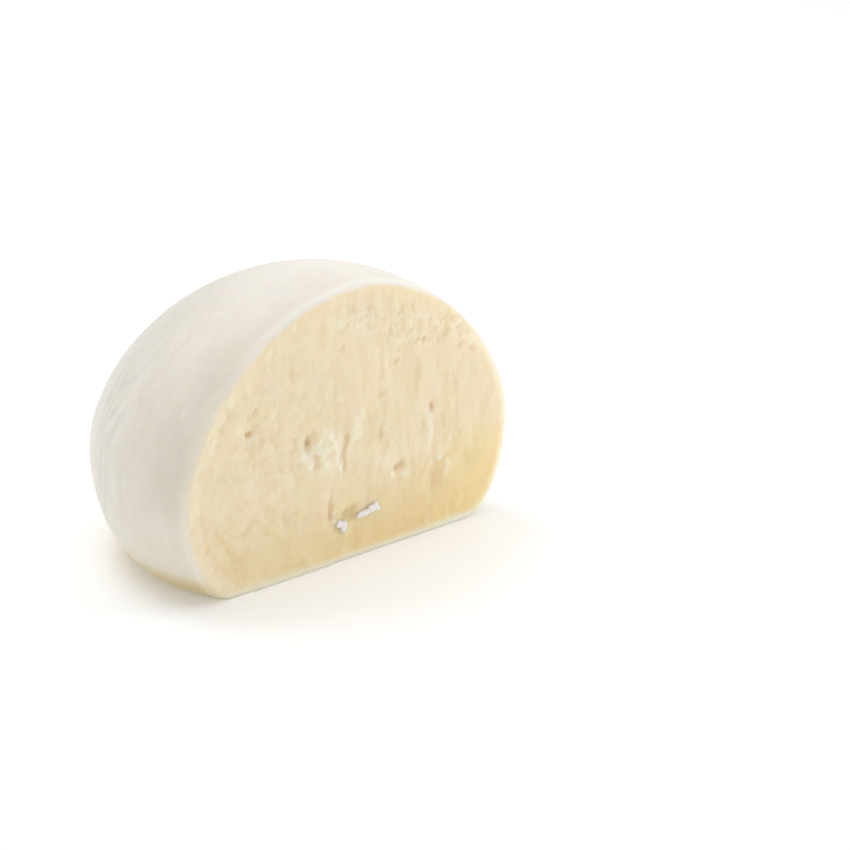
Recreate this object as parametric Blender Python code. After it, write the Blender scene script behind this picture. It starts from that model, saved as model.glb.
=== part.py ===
"""A mozzarella ball with its first slices cut away, as one solid.

The ball is a soft round of fresh cheese that sags over a flat foot with a well rounded edge. In
plan it is nearly round, with soft swells, and its crown leans a hair towards the cut. The knife
has left a nearly flat face with a faint sway, a few holes, a tear whose lip stands up on one side,
and a patch of torn curd beside the main hole.

Sizes are in metres and +Z is up. The cut faces -Y, and the origin is on the foot, under the
middle of the belly. On the cut, "across" runs along +X and "height" is measured from the foot.
"""

import math

import bmesh
import bpy
from mathutils import Vector, noise

MM = 0.001

# The whole ball, before the cut.
BELLY_RADIUS = 44.0 * MM  # mean radius at the widest level
BELLY_HEIGHT = 19.8 * MM  # the widest level, above the foot
CROWN_RISE = 35.9 * MM  # from the belly to the crown
SAG_DEPTH = 35.9 * MM  # from the belly to where the round would close if it had no foot
CROWN_LEAN = Vector((-0.2, -0.5)) * MM  # how far the crown stands off the belly's middle

# The soft edge of the foot, where the skin turns under: how high it starts and how far it tucks in.
TUCK_HEIGHT = 3.2 * MM
TUCK_DEPTH = 2.4 * MM
TUCK_POWER = 2.2
TUCK_RINGS = 4

# How full the round is: 1 is a circle's curve, more is leaner, less is fuller.
CROWN_WIDTH_POWER = 1.07
CROWN_HEIGHT_POWER = 1.18
SAG_WIDTH_POWER = 1.16
SAG_HEIGHT_POWER = 0.94
POWER_EASING = 0.3  # keeps the poles and the belly line free of creases

# What makes the plan uneven: crests around the belly, share of the radius, bearing of one crest.
PLAN_SWELLS = (
    (3, 0.016, math.radians(-50)),
    (4, 0.017, math.radians(-76)),
)
SPHERE_SUBDIVISIONS = 5

# The cut.
CUT_DISTANCE = 12.3 * MM  # from the ball's middle to the cut
CUT_SWAY = 0.35 * MM  # how far the knife wandered
SWAY_LENGTH = 34.0 * MM  # the distance over which it wandered
GRAIN_DEPTH = 0.10 * MM  # the pulled curd's upright grain
GRAIN_WIDTH = 3.2 * MM
GRAIN_HEIGHT = 16.0 * MM

# Holes in the cut: across, height, half width, half height, depth.
HOLES = (
    (-12.7 * MM, 26.0 * MM, 0.95 * MM, 1.4 * MM, 1.7 * MM),
    (-27.2 * MM, 30.8 * MM, 1.1 * MM, 0.8 * MM, 0.9 * MM),
    (20.3 * MM, 25.5 * MM, 0.8 * MM, 1.3 * MM, 1.3 * MM),
    (11.9 * MM, 15.3 * MM, 1.5 * MM, 1.2 * MM, 0.8 * MM),
    (-7.0 * MM, 11.2 * MM, 0.8 * MM, 1.8 * MM, 0.8 * MM),
    (21.9 * MM, 10.2 * MM, 1.8 * MM, 3.6 * MM, 1.0 * MM),
)

# The patch of torn curd beside the main hole, and the tear whose lip stands up. The lip rises
# gently from the left and drops off sharply to the right.
CURD_PLACE = Vector((-8.5, 22.9)) * MM
CURD_HALF_SIZE = Vector((3.0, 4.6)) * MM
CURD_RISE = 0.8 * MM
CURD_LUMP = 2.2 * MM
LIP_TOP = Vector((20.9, 25.2)) * MM  # its upper and lower ends: across, height
LIP_FOOT = Vector((16.6, 7.4)) * MM
LIP_BOW = 0.8 * MM  # how far its middle bows to the right
LIP_LEFT_WIDTH = 2.0 * MM
LIP_RIGHT_WIDTH = 0.8 * MM
LIP_RISE = 0.7 * MM

# The knife block, whose face is the cut.
BLOCK_HALF_WIDTH = 54.0 * MM
BLOCK_TOP = 64.0 * MM
BLOCK_BOTTOM = -6.0 * MM
BLOCK_DEPTH = 45.0 * MM
BLOCK_CELL = 2.6 * MM  # the face's plain cells
FINE_MARGIN = 1.3  # how far past a feature's half size the cells are split
SLIVER = 0.06 * MM  # corners of the cut's edge closer than this are one

SKIN_COLOUR = (0.84, 0.80, 0.72, 1.0)
CURD_COLOUR = (0.86, 0.74, 0.52, 1.0)


def clear_scene():
    """Starts from an empty scene."""
    for thing in list(bpy.data.objects):
        bpy.data.objects.remove(thing, do_unlink=True)


def cheese_material(name, colour, roughness):
    """A moist, slightly waxy cheese surface."""
    material = bpy.data.materials.new(name)
    material.use_nodes = True
    shader = material.node_tree.nodes["Principled BSDF"]
    shader.inputs["Base Color"].default_value = colour
    shader.inputs["Roughness"].default_value = roughness
    shader.inputs["Metallic"].default_value = 0.0
    return material


def eased_power(share, power):
    """share ** power for a share from 0 to 1, with a finite slope at 0."""
    softened = (share**2 + POWER_EASING**2) / (1 + POWER_EASING**2)
    return share * softened ** ((power - 1) / 2)


def skin_point(direction):
    """The ball's skin in a direction from the middle of the belly, a unit vector."""
    level = abs(direction.z)
    reach = math.hypot(direction.x, direction.y)
    bearing = math.atan2(direction.y, direction.x)
    if direction.z > 0:
        rise = CROWN_RISE * eased_power(level, CROWN_HEIGHT_POWER)
        radius = BELLY_RADIUS * eased_power(reach, CROWN_WIDTH_POWER)
        lean = CROWN_LEAN * (rise / CROWN_RISE) ** 2
    else:
        rise = -SAG_DEPTH * eased_power(level, SAG_HEIGHT_POWER)
        radius = BELLY_RADIUS * eased_power(reach, SAG_WIDTH_POWER)
        lean = Vector((0, 0))
    for crests, share, crest_bearing in PLAN_SWELLS:
        radius += radius * share * math.cos(crests * (bearing - crest_bearing))
    return Vector(
        (
            radius * math.cos(bearing) + lean.x,
            radius * math.sin(bearing) + lean.y,
            BELLY_HEIGHT + rise,
        )
    )


def slice_level(ball, height, clear_below):
    """Slices the ball level at a height, and can take away all below it."""
    everything = ball.verts[:] + ball.edges[:] + ball.faces[:]
    return bmesh.ops.bisect_plane(
        ball,
        geom=everything,
        dist=0.05 * MM,
        plane_co=(0, 0, height),
        plane_no=(0, 0, 1),
        clear_inner=clear_below,
    )


def tucked(place):
    """A place on the skin, drawn in towards the middle where it is near the foot."""
    share = max(0.0, 1 - place.z / TUCK_HEIGHT)
    reach = math.hypot(place.x, place.y)
    drawn = 1 - TUCK_DEPTH * share**TUCK_POWER / reach
    return Vector((place.x * drawn, place.y * drawn, place.z))


def whole_ball():
    """The uncut ball on its flat foot."""
    ball = bmesh.new()
    bmesh.ops.create_icosphere(ball, subdivisions=SPHERE_SUBDIVISIONS, radius=1.0)
    for vert in ball.verts:
        vert.co = skin_point(vert.co.normalized())
    for ring in range(TUCK_RINGS, 0, -1):
        slice_level(ball, TUCK_HEIGHT * (ring / TUCK_RINGS) ** 1.5, False)
    sliced = slice_level(ball, 0, True)
    for vert in ball.verts:
        if vert.co.z < TUCK_HEIGHT:
            vert.co = tucked(vert.co)
    rim = [item for item in sliced["geom_cut"] if isinstance(item, bmesh.types.BMEdge)]
    bmesh.ops.contextual_create(ball, geom=rim)
    bmesh.ops.triangulate(ball, faces=[face for face in ball.faces if len(face.verts) == 4])
    bmesh.ops.recalc_face_normals(ball, faces=ball.faces)
    return ball


def bump(across, height, half_width, half_height):
    """A smooth bump of height 1 over an oval spot, for offsets from its middle."""
    return math.exp(-((across / half_width) ** 2) - (height / half_height) ** 2)


def share_up_lip(height):
    """How far up the lip a height lies: 0 at its lower end and 1 at its upper one."""
    return (height - LIP_FOOT.y) / (LIP_TOP.y - LIP_FOOT.y)


def lip_across(height):
    """Where the lip's crest runs at a height: a shallow bow that leans to the right."""
    share = share_up_lip(height)
    straight = LIP_FOOT.x + (LIP_TOP.x - LIP_FOOT.x) * share
    return straight + LIP_BOW * math.sin(math.pi * share)


def lip_strength(height):
    """How much of the lip there is at a height: most near its top, fading to its lower end."""
    share = share_up_lip(height)
    if not 0 < share < 1:
        return 0.0
    return math.sin(math.pi * share) ** 0.5 * (0.4 + 0.6 * share)


def cut_depth(across, height):
    """How far the cut lies into the ball, past its mean plane."""
    depth = CUT_SWAY * noise.noise(Vector((across, height, 0)) / SWAY_LENGTH)
    depth += GRAIN_DEPTH * noise.noise(
        Vector((across / GRAIN_WIDTH, height / GRAIN_HEIGHT, 1))
    )
    for place, level, half_width, half_height, hole_depth in HOLES:
        depth += hole_depth * bump(across - place, height - level, half_width, half_height)
    curd = bump(across - CURD_PLACE.x, height - CURD_PLACE.y, *CURD_HALF_SIZE)
    lumps = noise.noise(Vector((across, height, 2 * CURD_LUMP)) / CURD_LUMP)
    depth -= CURD_RISE * curd * (0.5 + lumps)
    off_lip = across - lip_across(height)
    lip_width = LIP_LEFT_WIDTH if off_lip < 0 else LIP_RIGHT_WIDTH
    depth -= LIP_RISE * lip_strength(height) * math.exp(-((off_lip / lip_width) ** 2))
    return depth


def is_detailed(middle):
    """True where the cut's face needs fine cells: at a hole, the torn curd or the lip."""
    for place, level, half_width, half_height, _ in HOLES:
        off = ((middle.x - place) / half_width, (middle.z - level) / half_height)
        if math.hypot(*off) < 2 * FINE_MARGIN:
            return True
    off_curd = (
        (middle.x - CURD_PLACE.x) / CURD_HALF_SIZE.x,
        (middle.z - CURD_PLACE.y) / CURD_HALF_SIZE.y,
    )
    if math.hypot(*off_curd) < FINE_MARGIN:
        return True
    off_lip = middle.x - lip_across(middle.z)
    near_lip = -1.3 * LIP_LEFT_WIDTH < off_lip < 2.2 * LIP_RIGHT_WIDTH
    return near_lip and 0 < share_up_lip(middle.z) < 1


def knife_block():
    """The block that the knife took off: its face on the ball's side is the cut."""
    block = bmesh.new()
    columns = round(2 * BLOCK_HALF_WIDTH / BLOCK_CELL)
    rows = round((BLOCK_TOP - BLOCK_BOTTOM) / BLOCK_CELL)
    bmesh.ops.create_grid(block, x_segments=columns, y_segments=rows, size=1.0)
    mid_height = (BLOCK_TOP + BLOCK_BOTTOM) / 2
    half_height = (BLOCK_TOP - BLOCK_BOTTOM) / 2
    for vert in block.verts:
        vert.co = Vector((vert.co.x * BLOCK_HALF_WIDTH, 0, mid_height + vert.co.y * half_height))
    for _ in range(2):
        fine = [face for face in block.faces if is_detailed(face.calc_center_median())]
        edges = list({edge for face in fine for edge in face.edges})
        bmesh.ops.subdivide_edges(block, edges=edges, cuts=1, use_grid_fill=True)
    for vert in block.verts:
        vert.co.y = -CUT_DISTANCE + cut_depth(vert.co.x, vert.co.z)
    bmesh.ops.triangulate(block, faces=block.faces)
    outline = [edge for edge in block.edges if edge.is_boundary]
    walls = bmesh.ops.extrude_edge_only(block, edges=outline)
    far_verts = [item for item in walls["geom"] if isinstance(item, bmesh.types.BMVert)]
    for vert in far_verts:
        vert.co.y = -CUT_DISTANCE - BLOCK_DEPTH
    far_edges = [edge for edge in block.edges if edge.is_boundary]
    bmesh.ops.contextual_create(block, geom=far_edges)
    bmesh.ops.recalc_face_normals(block, faces=block.faces)
    return block


def add_object(name, shape, material):
    """Puts a bmesh into the scene as a smooth-shaded object with its material."""
    mesh = bpy.data.meshes.new(name)
    shape.to_mesh(mesh)
    shape.free()
    mesh.materials.append(material)
    mesh.shade_smooth()
    thing = bpy.data.objects.new(name, mesh)
    bpy.context.scene.collection.objects.link(thing)
    return thing


def cut_away(ball, block):
    """Takes the knife block off the ball, and keeps the block only as a hidden guide."""
    block.display_type = "WIRE"
    block.hide_render = True
    cut = ball.modifiers.new("cut", "BOOLEAN")
    cut.operation = "DIFFERENCE"
    cut.solver = "EXACT"
    cut.material_mode = "TRANSFER"
    cut.object = block
    weld = ball.modifiers.new("close_corners", "WELD")
    weld.merge_threshold = SLIVER


def main():
    clear_scene()
    skin = cheese_material("skin", SKIN_COLOUR, 0.38)
    curd = cheese_material("curd", CURD_COLOUR, 0.45)
    ball = add_object("mozzarella_ball", whole_ball(), skin)
    block = add_object("knife_block", knife_block(), curd)
    cut_away(ball, block)


main()
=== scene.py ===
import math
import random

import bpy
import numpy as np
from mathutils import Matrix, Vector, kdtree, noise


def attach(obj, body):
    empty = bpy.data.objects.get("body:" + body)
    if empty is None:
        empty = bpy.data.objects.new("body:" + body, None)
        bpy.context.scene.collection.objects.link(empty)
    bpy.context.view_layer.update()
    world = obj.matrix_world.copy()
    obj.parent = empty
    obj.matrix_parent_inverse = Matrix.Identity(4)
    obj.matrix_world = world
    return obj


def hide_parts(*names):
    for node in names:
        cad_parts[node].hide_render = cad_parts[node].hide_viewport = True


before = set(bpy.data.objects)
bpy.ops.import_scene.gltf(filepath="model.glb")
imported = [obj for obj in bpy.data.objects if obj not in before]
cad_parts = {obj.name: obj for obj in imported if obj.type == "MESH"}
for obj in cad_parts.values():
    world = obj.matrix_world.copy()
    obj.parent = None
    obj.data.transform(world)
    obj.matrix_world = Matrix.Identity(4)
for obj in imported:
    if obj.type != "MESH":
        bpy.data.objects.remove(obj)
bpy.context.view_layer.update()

# The looks of a mozzarella ball with its first slices cut away. The frame's solid gives its form.
# Here it gets a fine surface: a smooth, faintly wrinkled skin that rolls over at the cut, and a cut
# of pulled curd with upright grain, pores, torn curds and a tear. Small crumbs cling to the cut.
# On the cut, a place is given by how far across it is, along +X, and how high above the foot, in mm.
# Lengths are in mm, but those of the studio, and those that are multiplied by MM, are in metres.

MM = 0.001
BODY = "root"
NODE = "mozzarella_ball"

# The camera stands to the left of the cut and a little above it. Its distance, bearing and
# elevation are taken from the middle of the belly. Its turn and tilt set the cheese a little to the
# left of the middle of the view.
BELLY_HEIGHT = 19.86 * MM
CAMERA_DISTANCE = 616 * MM
CAMERA_BEARING = math.radians(43.54)
CAMERA_ELEVATION = math.radians(18.0)
CAMERA_TURN = math.radians(2.13)
CAMERA_TILT = math.radians(-0.34)
CAMERA_LENS = 135.1
CAMERA_SENSOR = 36

# The studio: round softboxes by name, place and width (metres) and power (watts). They all point
# at the middle of the cheese, which stands on a faintly glowing table in a pale room.
SOFTBOXES = (
    ("overhead", (0.0, 0.0, 0.9), 0.8, 1.45),
    ("over_right", (0.5, 0.0, 0.7), 0.6, 1.00),
    ("over_back", (0.0, 0.5, 0.7), 0.6, 2.50),
    ("behind_right", (0.6, 0.5, 0.35), 0.6, 0.56),
    ("behind_left", (-0.5, 0.6, 0.35), 0.6, 0.80),
    ("front_left", (-0.5, -0.7, 0.4), 0.6, 1.20),
    ("front_right", (0.6, -0.6, 0.35), 0.6, 0.40),
    ("near_right", (0.25, -0.2, 0.15), 0.12, 0.22),
)
SOFTBOX_AIM = Vector((0, 0, 0.02))
# These light the cheese but don't show in its gloss. Seen from behind at a grazing angle, the crown
# would mirror them and turn as white as the ground beyond it.
GLOSSLESS = ("front_left", "front_right", "near_right")
ROOM_LIGHT = 0.35
TABLE_SIZE = 8.0
TABLE_DROP = 0.02 * MM
TABLE_GLOW = 0.15

# How finely the cheese is meshed. The faces of its foot lie in a thin band above the ground.
MESH_SIZE = 0.59 * MM
MERGE_DISTANCE = 0.001 * MM
SMOOTH_PASSES = 6
FOOT_BAND = 0.3 * MM
FOOT_FACING = -0.97
FOOT_FLATNESS = math.radians(0.5)

# Faces square to -Y give the plane of the cut. The faces that belong to the cut face that way too,
# less strictly, and lie close behind this plane. The cut sets in fully between two shares of
# facing, and its relief sets in between two heights above the foot.
SQUARE_FACING = -0.98
CUT_FACING = -0.70
CUT_BAND = 2.6 * MM
FACING_SHARES = (0.25, 0.75)
CUT_RELIEF_UP = (0.3, 1.5)

# The cut's outline is followed around this point on the cut, and evened over a few degrees.
OUTLINE_MIDDLE = (0.0, 24 * MM)
OUTLINE_EVENING = 3
OUTLINE_STEPS = 6
# How far behind the cut's plane the skin begins to count as away from the cut.
BACK_EDGE = 0.5 * MM

# How far the relief may move the surface. The skin's relief sets in between two heights above the
# foot, and between two distances from the cut.
CUT_REACH = 1.6 * MM
SKIN_REACH = 0.5 * MM
SKIN_RELIEF_UP = (0.8, 3.0)
SKIN_RELIEF_BACK = (0.8, 3.0)
LEAST_WEIGHT = 0.002

# The skin's folds lie thickest at this place along Y, and reach this far either side. They weaken
# over the crown, from a certain height and over a certain rise.
FOLD_MIDDLE = 17.0
FOLD_REACH = 16.0
CROWN_START = 36
CROWN_SPAN = 14

# How far the skin's forms rise: broad swells, folds, the folds between them, and fine crepe.
SWELL_RISE = 0.10
FOLD_RISE = 0.19
SMALL_FOLD_RISE = 0.09
CREPE_RISE = 0.016

# How far the folds wander along Y, in two sizes, and how they slant above and below one height.
WIDE_WANDER = 3.4
FINE_WANDER = 0.9
SLANT = 0.3
SLANT_HEIGHT = 20

# Rounded noise on the skin: size of its blobs, and a number that tells the patterns apart. It runs
# across the axes, so that none of it lines up with the cut.
SWELL_TURN = Matrix.Rotation(math.radians(38), 3, Vector((1, 2, 3)).normalized())
SWELLS = {
    "slant": (24, 9),
    "wide_wander": (14, 0),
    "fine_wander": (5, 3),
    "crepe": (1.9, 5),
    "fine_crepe": (1.0, 6),
    "patch": (14, 20),
    "broad": (17, 30),
    "less_broad": (8, 40),
}

# Long noise that makes the folds: length, width, and a number that tells the patterns apart.
PLEATS = {
    "fold": (9, 1.3, 0.6),
    "small_fold": (6, 0.9, 7.3),
}

# The cut's outer edge: how thick the skin looks end on, and how far inside the outline the relief
# of the cut starts and is full.
SKIN_EDGE = 0.6
EDGE_START = 0.35
EDGE_FULL = 1.1

# Inside the skin lies a paler layer with a shallow groove just beyond it, and beads of curd on it.
# The layer and the groove stand out at the far left only: they set in between two distances to the
# left, and are softened over the layer's softness.
LAYER_RELIEF_LEFT = (24, 36)
LAYER_WIDTH = 3.2
LAYER_SOFTNESS = 1.8
LAYER_RISE = 0.12
GROOVE_BEYOND = 0.6
GROOVE_WIDTH = 0.7
GROOVE_DEPTH = 0.08
BEAD_PLACE = 2.0
BEAD_WIDTH = 1.2
BEAD_RISE = 0.12

# Clouds of noise on the cut: width and height of their blobs, a number that tells the patterns
# apart, and how many sizes of noise are laid over each other.
CLOUDS = {
    "fine_bend_across": (2.1, 2.3, 61.0, 2),
    "wide_bend_across": (7.0, 8.0, 63.0, 2),
    "fine_bend_up": (2.3, 2.1, 65.0, 2),
    "wide_bend_up": (7.0, 8.0, 67.0, 2),
    "patches": (9.0, 9.0, 5.9, 2),
    "grain": (1.7, 6.5, 3.3, 2),
    "strand": (3.4, 14.0, 8.1, 2),
    "lumps": (1.7, 1.9, 12.7, 3),
    "dapple": (3.6, 3.4, 17.3, 3),
    "sway": (11.0, 14.0, 21.9, 2),
    "calm": (7.0, 7.0, 71.3, 2),
    "crumble": (1.25, 1.8, 31.4, 3),
    "flecks": (1.0, 1.1, 41.2, 3),
    "blotch": (2.9, 2.7, 47.7, 3),
    "beads": (0.9, 0.9, 51.3, 3),
}

# Marks on the cut are pushed about by a fine and a wide cloud, so that none is a plain oval.
FINE_BEND = 0.5
WIDE_BEND = 0.9

# The curd's own relief. Upright strands set in towards the right, between two places across, and
# upwards, between two heights. Elsewhere the curd is lumpy. The last two say how much painted
# highlight its high spots get, and how much painted shade its low ones.
STRANDS_ACROSS = (-22, 10)
STRANDS_UP = (3, 14)
GRAIN_RISE = 0.07
STRAND_RISE = 0.10
LUMP_RISE = 0.11
DAPPLE_RISE = 0.16
SWAY_RISE = 0.20
PIT_DEPTH = 0.18
HIGHLIGHT_AMOUNT = 0.22
SHADE_AMOUNT = 0.26

# Holes and pits: across, height, half width, half height, depth beyond the solid's own. A mark fades
# out towards its edge, so it is spread wider than its sizes say.
HOLE_SPREAD = 1.35
HOLES = (
    (-12.9, 25.9, 0.85, 1.30, 0.40),
    (-26.9, 31.0, 1.50, 0.65, 0.40),
    (20.6, 25.6, 0.60, 1.30, 0.30),
    (11.6, 15.5, 1.50, 1.30, 0.35),
    (20.9, 10.4, 2.00, 3.20, 0.15),
    (-1.8, 9.2, 2.00, 1.80, 0.60),
    (-6.8, 12.5, 0.60, 1.90, 0.25),
    (-7.2, 9.9, 0.60, 1.10, 0.30),
    (7.2, 30.6, 0.80, 1.10, 0.22),
    (-16.6, 40.0, 0.70, 1.00, 0.20),
    (6.2, 23.0, 0.90, 2.00, 0.20),
    (18.6, 38.9, 0.70, 0.90, 0.28),
    (11.4, 39.0, 0.80, 0.90, 0.25),
    (10.8, 36.8, 0.60, 0.90, 0.20),
    (31.0, 12.5, 3.60, 2.60, 0.12),
)

# Torn curds that stand out: across, height, half width, half height, rise.
CURD_SPREAD = 1.3
CURDS = (
    (-9.9, 26.2, 1.30, 0.90, 0.26),
    (-11.0, 25.8, 0.80, 0.80, 0.20),
    (-6.8, 25.9, 1.10, 1.10, 0.28),
    (-6.1, 23.6, 0.95, 2.00, 0.28),
    (-6.0, 20.9, 0.95, 1.90, 0.26),
    (-5.0, 19.5, 0.90, 0.80, 0.22),
    (-8.8, 23.5, 1.15, 1.05, 0.32),
    (-8.9, 20.5, 1.15, 1.15, 0.28),
    (-13.8, 23.9, 0.80, 1.30, 0.26),
    (-12.7, 21.5, 0.80, 1.40, 0.28),
    (-6.2, 10.6, 0.80, 0.70, 0.22),
    (-5.8, 8.9, 0.75, 0.65, 0.20),
    (9.6, 14.3, 1.10, 1.20, 0.18),
    (12.9, 13.2, 1.00, 0.90, 0.18),
    (22.8, 14.9, 1.00, 1.10, 0.18),
    (24.6, 13.5, 0.80, 0.90, 0.16),
    (8.0, 17.5, 1.50, 2.40, 0.14),
    (1.6, 28.5, 1.00, 1.60, 0.14),
)

# Ridges and grooves run through places on the cut: half width, rise (negative for a groove), places.
RIDGE_SPREAD = 1.3
RIDGES = (
    (0.90, -0.32, ((-11.5, 24.4), (-11.2, 22.6), (-10.7, 19.2))),
    (0.90, -0.30, ((-3.0, 26.2), (-3.3, 22.2), (-3.5, 18.4))),
    (1.30, 0.20, ((-0.2, 29.8), (-0.8, 26.4), (-1.0, 22.4))),
    (0.90, -0.16, ((3.4, 28.5), (3.6, 24.5), (3.2, 20.5))),
    (0.80, 0.13, ((-30.2, 31.0), (-28.6, 30.0), (-26.8, 29.6))),
    (1.00, 0.22, ((18.8, 26.4), (19.5, 24.3), (20.3, 22.2))),
    (0.90, -0.17, ((-36.3, 15.6), (-35.3, 12.8), (-33.7, 10.0), (-31.7, 7.8), (-28.6, 5.8))),
    (1.40, 0.13, ((-37.4, 14.6), (-35.4, 10.4), (-33.0, 7.4), (-29.6, 4.8))),
    (0.80, -0.10, ((-24.2, 19.0), (-23.4, 13.5), (-23.8, 9.5))),
    (0.90, 0.12, ((-20.3, 17.0), (-20.0, 12.5), (-20.6, 8.5))),
    (0.70, 0.15, ((16.6, 37.5), (17.0, 34.0), (16.7, 30.5))),
    (0.70, 0.15, ((24.8, 34.0), (25.1, 31.0), (24.8, 27.5))),
    (0.70, -0.15, ((26.3, 32.0), (26.5, 29.0), (26.2, 26.0))),
    (0.70, 0.20, ((28.4, 38.6), (30.4, 37.2), (31.6, 34.8))),
    (0.60, 0.16, ((-3.0, 47.2), (0.5, 48.4), (4.0, 48.2))),
)

# The tear: its left side stands up and gets painted highlight, and its right side drops away into
# painted shade. It is sharper in its upper part, which sets in between two heights.
TEAR = (
    (20.7, 24.4),
    (20.7, 22.6),
    (20.4, 20.8),
    (19.7, 18.4),
    (18.8, 15.9),
    (17.7, 13.0),
    (16.6, 9.0),
)
TEAR_UPPER = (12, 21)
TEAR_RISE = 0.05
TEAR_DROP = 0.30
TEAR_RISE_WIDTH = 3.2
TEAR_DROP_WIDTH = 4.6
TEAR_HIGHLIGHT_WIDTH = 1.6
TEAR_SHADE_WIDTH = 2.4

# Patches of ragged white flecks: across, height, half width, half height, how dense.
PATCH_SPREAD = 1.5
FLECK_RISE = 0.11
BLOTCH_RISE = 0.20
FLECK_PATCHES = (
    (-3.0, 48.3, 5.0, 2.6, 0.70),
    (4.0, 46.8, 6.0, 3.4, 1.00),
    (12.5, 44.2, 5.5, 4.0, 1.00),
    (20.5, 41.5, 6.0, 4.0, 0.90),
    (25.5, 42.0, 4.0, 3.0, 1.00),
    (30.2, 36.5, 3.2, 4.0, 1.00),
    (8.5, 20.0, 5.5, 6.5, 0.40),
    (25.0, 14.5, 5.5, 5.0, 0.60),
    (-30.5, 40.0, 7.0, 5.5, 0.45),
    (-8.0, 33.5, 8.0, 4.5, 0.45),
    (-26.0, 31.0, 5.0, 3.5, 0.35),
)

# The ragged middle of the cut: across, height, half width, half height. Its mesh is finer, to a
# little outside it.
RAGGED = (-8.8, 22.8, 6.7, 6.2)
RAGGED_MARGIN = 0.8
RAGGED_RISE = 0.22
CRUMBLE_RISE = 0.20

# Small pores, strewn over the cut. Each value lies between two limits.
PORE_SEED = 7
PORE_COUNT = 34
PORE_ACROSS = (-38, 38)
PORE_UP = (4, 50)
PORE_SIZE = (0.40, 0.75)
PORE_SPREAD = 1.4
PORE_STRETCH = (1.4, 2.6)
PORE_DEPTH = (0.10, 0.22)

# Crumbs that cling to the cut: across, height, half sizes across, out and up, lean in degrees.
CRUMBS = (
    (-4.9, 7.9, 0.85, 0.65, 0.75, 20),
    (-3.9, 7.5, 1.00, 0.75, 0.80, -15),
    (-3.9, 6.6, 0.70, 0.55, 0.80, 0),
    (0.7, 8.4, 0.95, 0.60, 0.62, 0),
    (1.9, 8.5, 1.10, 0.70, 0.66, 6),
    (3.5, 8.9, 0.95, 0.80, 0.80, 20),
    (4.6, 9.2, 0.70, 0.65, 0.95, -30),
    (5.4, 8.6, 0.70, 0.50, 0.60, -35),
)
CRUMB_GROUPS = ((0, 1, 2), (3, 4, 5, 6, 7))
CRUMB_SINK = 0.15  # how far a knob sinks into the cut, as a share of its half size
CRUMB_MESH = 0.11 * MM
CRUMB_SMOOTH_PASSES = 10
CRUMB_LUMP = 0.12 * MM
CRUMB_REACH = 0.4 * MM

# Colours of the skin. Some set in along one axis: the two numbers are where that starts and where
# it is full. Back is along +Y.
SKIN_PALE = (0.84, 0.79, 0.70, 1)
SKIN_SHADE = (0.79, 0.735, 0.63, 1)
# The white of the skin seen end on at the cut, also used as painted highlight on folds, strands and
# the rolled lip.
SKIN_RIM_WHITE_AND_HIGHLIGHT = (0.90, 0.87, 0.80, 1)
# Painted shade in the skin's creases and between its strands.
SKIN_CREASE_SHADE = (0.72, 0.68, 0.60, 1)
SKIN_COOL = (0.80, 0.785, 0.73, 1)
COOL_BACK = (-2, 26)
# Painted light: the crown is lighter, where the light from above falls on it.
SKIN_LIT_CROWN = (0.87, 0.83, 0.765, 1)
LIT_CROWN_UP = (46, 56)
SKIN_LOW = (0.80, 0.745, 0.61, 1)
LOW_UP = (16, 4)
# Warm painted shade where the foot turns under towards the table.
SKIN_FOOT_SHADE = (0.69, 0.575, 0.335, 1)
FOOT_SHADE_UP = (6.5, 3.0)
# Painted light that lifts the foot's shade again right at the table.
SKIN_CONTACT_LIGHT = (0.86, 0.76, 0.53, 1)
CONTACT_LIGHT_UP = (1.8, 0.4)

# Colours of the curd, with the places where they set in, given in the same way. The right edge of the
# cut is thin and lets light through, and that glow is painted in as a paler colour. At the foot of
# the cut the same paler colour is painted light that lifts the shade where the cut meets the table.
CURD_PALE = (0.92, 0.82, 0.60, 1)
CURD_DEEP = (0.86, 0.72, 0.48, 1)
CURD_BLUSH = (0.91, 0.755, 0.56, 1)
# Torn curd's own paler colour, also used as painted highlight on what stands high on the cut.
CURD_TORN_AND_HIGHLIGHT = (0.99, 0.905, 0.745, 1)
# Painted shade in holes, pores, grooves and other low places on the cut.
CURD_HOLLOW_SHADE = (0.75, 0.585, 0.29, 1)
# Painted shade that warms the lower cut, more so towards the right.
CURD_LOW_SHADE = (0.85, 0.675, 0.36, 1)
CURD_LOW_SHADE_UP = (20, 0)
# Painted warm shade and bounce light low on the right of the cut.
CURD_WARM_SHADE = (0.93, 0.745, 0.38, 1)
WARM_SHADE_UP = (24, 12)
WARM_SHADE_ACROSS = (14, 34)
CURD_LAYER = (0.91, 0.81, 0.61, 1)
LAYER_ACROSS = (-22, -36)
CURD_GLOW = (0.97, 0.93, 0.82, 1)
GLOW_UP = (2.2, 0.3)
GLOW_INSIDE = (2.4, 0.5)
GLOW_ACROSS = (12, 28)
GLOW_BELOW = (46, 34)
CRUMB_WHITE = (0.98, 0.97, 0.93, 1)

# Patterns in the materials: size of their blobs along X, Y and Z, detail, roughness.
PATTERNS = {
    "blush": ((14, 14, 14), 2, 0.5),
    "cloudy": ((5, 4, 5), 4, 0.6),
    "strokes": ((5, 0.7, 5), 3, 0.6),
    "strands": ((2.0, 3, 9), 3, 0.55),
    "mottle": ((2.6, 3, 2.8), 4, 0.6),
    "patches": ((6, 7, 7), 4, 0.6),
    "speck": ((0.9, 1.1, 1.0), 2, 0.5),
    "fine": ((0.4, 0.4, 0.8), 3, 0.6),
    "soft": ((1.6, 1.6, 1.6), 4, 0.6),
    "patchy": ((4, 4, 4), 3, 0.5),
    "crumb_shade": ((0.8, 0.8, 0.8), 3, 0.5),
    "crumb_fine": ((0.25, 0.25, 0.25), 3, 0.5),
}


# ---------------------------------------------------------------- working on a piece


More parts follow.
